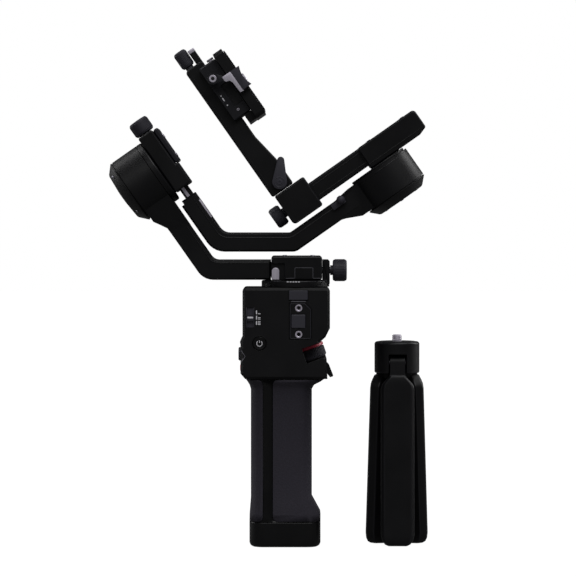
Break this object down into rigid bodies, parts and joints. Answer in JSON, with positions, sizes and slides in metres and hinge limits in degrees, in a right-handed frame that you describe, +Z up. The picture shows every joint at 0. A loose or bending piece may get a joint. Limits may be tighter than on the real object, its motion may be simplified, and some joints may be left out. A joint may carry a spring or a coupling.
{
  "type": "gimbal stabilizer",
  "caption": "Hand-held motorised stabilizer for a small camera: grip and control head, pan, roll and tilt arms, sliding quick-release plate, and a folding mini tripod beside it.",
  "frame": {"origin": "where the pan axis meets the plane of the grip's underside", "axes": "+Z up along the pan axis; +X from the handle towards the trigger, the front; -Y the side with the power button and mode switch, +Y the side with the touch screen"},
  "size_m": [0.2074, 0.0524, 0.3224],
  "materials": {
    "gloss_plastic": "glossy black moulded plastic",
    "shell_plastic": "fine satin black plastic",
    "grip_rubber": "soft matte rubber with a fine diamond grain",
    "port_rubber": "matte moulded rubber",
    "arm_alloy": "black anodised, bead-blasted",
    "knob_plastic": "dark grey textured plastic",
    "clamp_alloy": "black anodised, slightly textured",
    "silver_steel": "bright satin metal",
    "crimson_plastic": "crimson plastic",
    "screen_glass": "black cover glass over a small display",
    "cell_wrap": "shrink-wrapped cell",
    "circuit_board": "green solder mask",
    "motor_winding": "copper windings on a steel core",
    "brass_insert": "turned brass",
    "bare_metal": "bare stamped metal"
  },
  "bodies": {
    "handle": {"grip_core": "gloss_plastic", "grip_front_pad": "grip_rubber", "grip_rear_pad": "grip_rubber", "base_cap": "gloss_plastic", "base_thread_insert": "brass_insert", "head_shell_right": "shell_plastic", "head_shell_left": "shell_plastic", "battery_cell_front": "cell_wrap", "battery_cell_rear": "cell_wrap", "main_board": "circuit_board", "pan_stator": "motor_winding", "accessory_plate": "gloss_plastic", "contact_cover": "knob_plastic", "port_insert_lower": "silver_steel", "port_insert_upper": "silver_steel", "touch_screen": "screen_glass"},
    "port_flap": {"port_flap": "port_rubber"},
    "power_button": {"power_button": "gloss_plastic"},
    "mode_switch": {"mode_switch": "knob_plastic"},
    "trigger": {"trigger": "knob_plastic"},
    "front_dial": {"front_dial": "knob_plastic", "dial_ring": "crimson_plastic"},
    "joystick_yoke": {"joystick_yoke": "bare_metal"},
    "joystick_cap": {"joystick_cap": "knob_plastic"},
    "record_button": {"record_button": "crimson_plastic"},
    "menu_button": {"menu_button": "knob_plastic"},
    "pan": {"pan_rotor": "arm_alloy", "pan_arm_holder": "arm_alloy"},
    "pan_lock_lever": {"pan_lock_lever": "silver_steel"},
    "pan_knob": {"pan_knob": "knob_plastic"},
    "lower_arm": {"lower_arm": "arm_alloy", "roll_motor_cover": "shell_plastic", "roll_stator": "motor_winding"},
    "roll": {"roll_rotor": "arm_alloy", "roll_arm_holder": "arm_alloy", "roll_clamp_cover": "clamp_alloy"},
    "roll_knob": {"roll_knob": "knob_plastic"},
    "roll_arm": {"roll_arm": "arm_alloy", "tilt_motor_cover": "shell_plastic", "tilt_stator": "motor_winding"},
    "tilt_lock_knob": {"tilt_lock_knob": "silver_steel"},
    "tilt": {"tilt_rotor": "arm_alloy", "vertical_arm": "arm_alloy"},
    "bracket": {"bracket": "arm_alloy", "camera_bar": "arm_alloy"},
    "bracket_knob": {"bracket_knob": "knob_plastic"},
    "bar_lock_lever": {"bar_lock_lever": "knob_plastic"},
    "platform_knob": {"platform_knob": "knob_plastic"},
    "platform": {"platform_clamp": "clamp_alloy", "platform_rail": "silver_steel"},
    "plate_lever": {"plate_lever": "knob_plastic"},
    "safety_catch": {"safety_catch": "silver_steel"},
    "plate": {"quick_release_plate": "clamp_alloy", "plate_pad": "grip_rubber"},
    "camera_screw": {"camera_screw": "silver_steel"},
    "tripod": {"tripod_head": "arm_alloy", "tripod_screw": "silver_steel"},
    "tripod_leg_front": {"tripod_leg_front": "arm_alloy"},
    "tripod_leg_right": {"tripod_leg_right": "arm_alloy"},
    "tripod_leg_left": {"tripod_leg_left": "arm_alloy"}
  },
  "joints": [
    {"name": "pan", "type": "hinge", "parent": "handle", "child": "pan", "pos_m": [0, 0, 0.168], "axis": [0, 0, 1], "continuous": true},
    {"name": "pan_arm_slide", "type": "slide", "parent": "pan", "child": "lower_arm", "axis": [1, 0, 0], "range_m": [-0.018, 0]},
    {"name": "pan_knob_turn", "type": "hinge", "parent": "pan", "child": "pan_knob", "pos_m": [0.0242, 0, 0.1786], "axis": [1, 0, 0], "range_deg": [-360, 0]},
    {"name": "pan_lock_slide", "type": "slide", "parent": "pan", "child": "pan_lock_lever", "axis": [1, 0, 0], "range_m": [0, 0.0035]},
    {"name": "roll", "type": "hinge", "parent": "lower_arm", "child": "roll", "pos_m": [0.0083, 0, 0.3105], "axis": [0.8192, 0, 0.5736], "range_deg": [-5, 330]},
    {"name": "roll_arm_slide", "type": "slide", "parent": "roll", "child": "roll_arm", "axis": [-0.5736, 0, 0.8192], "range_m": [-0.002, 0.005]},
    {"name": "roll_knob_turn", "type": "hinge", "parent": "roll", "child": "roll_knob", "pos_m": [-0.09728, 0, 0.26758], "axis": [-0.5736, 0, 0.8192], "range_deg": [-360, 0]},
    {"name": "tilt", "type": "hinge", "parent": "roll_arm", "child": "tilt", "pos_m": [0.0083, 0, 0.3105], "axis": [-0.5736, 0, 0.8192], "range_deg": [-57, 269]},
    {"name": "tilt_lock_slide", "type": "slide", "parent": "roll_arm", "child": "tilt_lock_knob", "axis": [0.8192, 0, 0.5736], "range_m": [0, 0.003]},
    {"name": "bracket_slide", "type": "slide", "parent": "tilt", "child": "bracket", "axis": [0.8192, 0, 0.5736], "range_m": [-0.003, 0.009]},
    {"name": "bracket_knob_turn", "type": "hinge", "parent": "bracket", "child": "bracket_knob", "pos_m": [-0.00778, 0, 0.21561], "axis": [-0.8192, 0, -0.5736], "range_deg": [-360, 0]},
    {"name": "bar_lever_swing", "type": "hinge", "parent": "bracket", "child": "bar_lock_lever", "pos_m": [-0.01027, -0.0123, 0.23573], "axis": [0, 1, 0], "range_deg": [0, 60]},
    {"name": "platform_slide", "type": "slide", "parent": "bracket", "child": "platform", "axis": [-0.5736, 0, 0.8192], "range_m": [-0.014, 0.004]},
    {"name": "platform_knob_turn", "type": "hinge", "parent": "bracket", "child": "platform_knob", "pos_m": [-0.06904, 0, 0.31042], "axis": [-0.5736, 0, 0.8192], "range_deg": [-360, 0]},
    {"name": "plate_lever_swing", "type": "hinge", "parent": "platform", "child": "plate_lever", "pos_m": [-0.053, -0.0206, 0.30164], "axis": [0, -1, 0], "range_deg": [0, 60]},
    {"name": "catch_press", "type": "slide", "parent": "platform", "child": "safety_catch", "axis": [0.5736, 0, -0.8192], "range_m": [0, 0.0012], "stiffness_N_per_m": 400, "springref_m": -0.0003},
    {"name": "plate_slide", "type": "slide", "parent": "platform", "child": "plate", "axis": [0, 1, 0], "range_m": [0, 0.03]},
    {"name": "camera_screw_turn", "type": "hinge", "parent": "plate", "child": "camera_screw", "pos_m": [-0.0404, 0.004, 0.29898], "axis": [0.8192, 0, 0.5736], "range_deg": [-360, 360]},
    {"name": "trigger_pull", "type": "hinge", "parent": "handle", "child": "trigger", "pos_m": [0.0184, 0, 0.1172], "axis": [0, 1, 0], "range_deg": [0, 12], "stiffness_Nm_per_rad": 0.2, "springref_deg": -5.73},
    {"name": "dial_turn", "type": "hinge", "parent": "handle", "child": "front_dial", "pos_m": [0.0072, 0, 0.1242], "axis": [-0.3206, 0, 0.9472], "continuous": true},
    {"name": "mode_switch_slide", "type": "slide", "parent": "handle", "child": "mode_switch", "axis": [0, 0, 1], "range_m": [-0.003, 0.003]},
    {"name": "power_button_press", "type": "slide", "parent": "handle", "child": "power_button", "axis": [0, 1, 0], "range_m": [0, 0.0008], "stiffness_N_per_m": 400, "springref_m": -0.0003},
    {"name": "joystick_tilt", "type": "hinge", "parent": "handle", "child": "joystick_yoke", "pos_m": [-0.0318, 0, 0.1242], "axis": [0, 1, 0], "range_deg": [-12, 12], "stiffness_Nm_per_rad": 0.02},
    {"name": "joystick_swing", "type": "hinge", "parent": "joystick_yoke", "child": "joystick_cap", "pos_m": [-0.0318, 0, 0.1242], "axis": [0, 0, 1], "range_deg": [-12, 12], "stiffness_Nm_per_rad": 0.02},
    {"name": "record_button_press", "type": "slide", "parent": "handle", "child": "record_button", "axis": [1, 0, 0], "range_m": [0, 0.0008], "stiffness_N_per_m": 400, "springref_m": -0.0003},
    {"name": "menu_button_press", "type": "slide", "parent": "handle", "child": "menu_button", "axis": [1, 0, 0], "range_m": [0, 0.0008], "stiffness_N_per_m": 400, "springref_m": -0.0003},
    {"name": "port_flap_open", "type": "hinge", "parent": "handle", "child": "port_flap", "pos_m": [0.0018, -0.0224, 0.1607], "axis": [1, 0, 0], "range_deg": [0, 100]},
    {"name": "tripod_place", "type": "slide", "parent": "handle", "child": "tripod", "axis": [1, 0, 0], "range_m": [0, 0.15]},
    {"name": "tripod_leg_front_swing", "type": "hinge", "parent": "tripod", "child": "tripod_leg_front", "pos_m": [0.066, -0.008, 0.119], "axis": [-1, 0, 0], "range_deg": [-2, 45]},
    {"name": "tripod_leg_right_swing", "type": "hinge", "parent": "tripod", "child": "tripod_leg_right", "pos_m": [0.07293, 0.004, 0.119], "axis": [0.5, -0.866, 0], "range_deg": [-2, 45]},
    {"name": "tripod_leg_left_swing", "type": "hinge", "parent": "tripod", "child": "tripod_leg_left", "pos_m": [0.05907, 0.004, 0.119], "axis": [0.5, 0.866, 0], "range_deg": [-2, 45]}
  ]
}
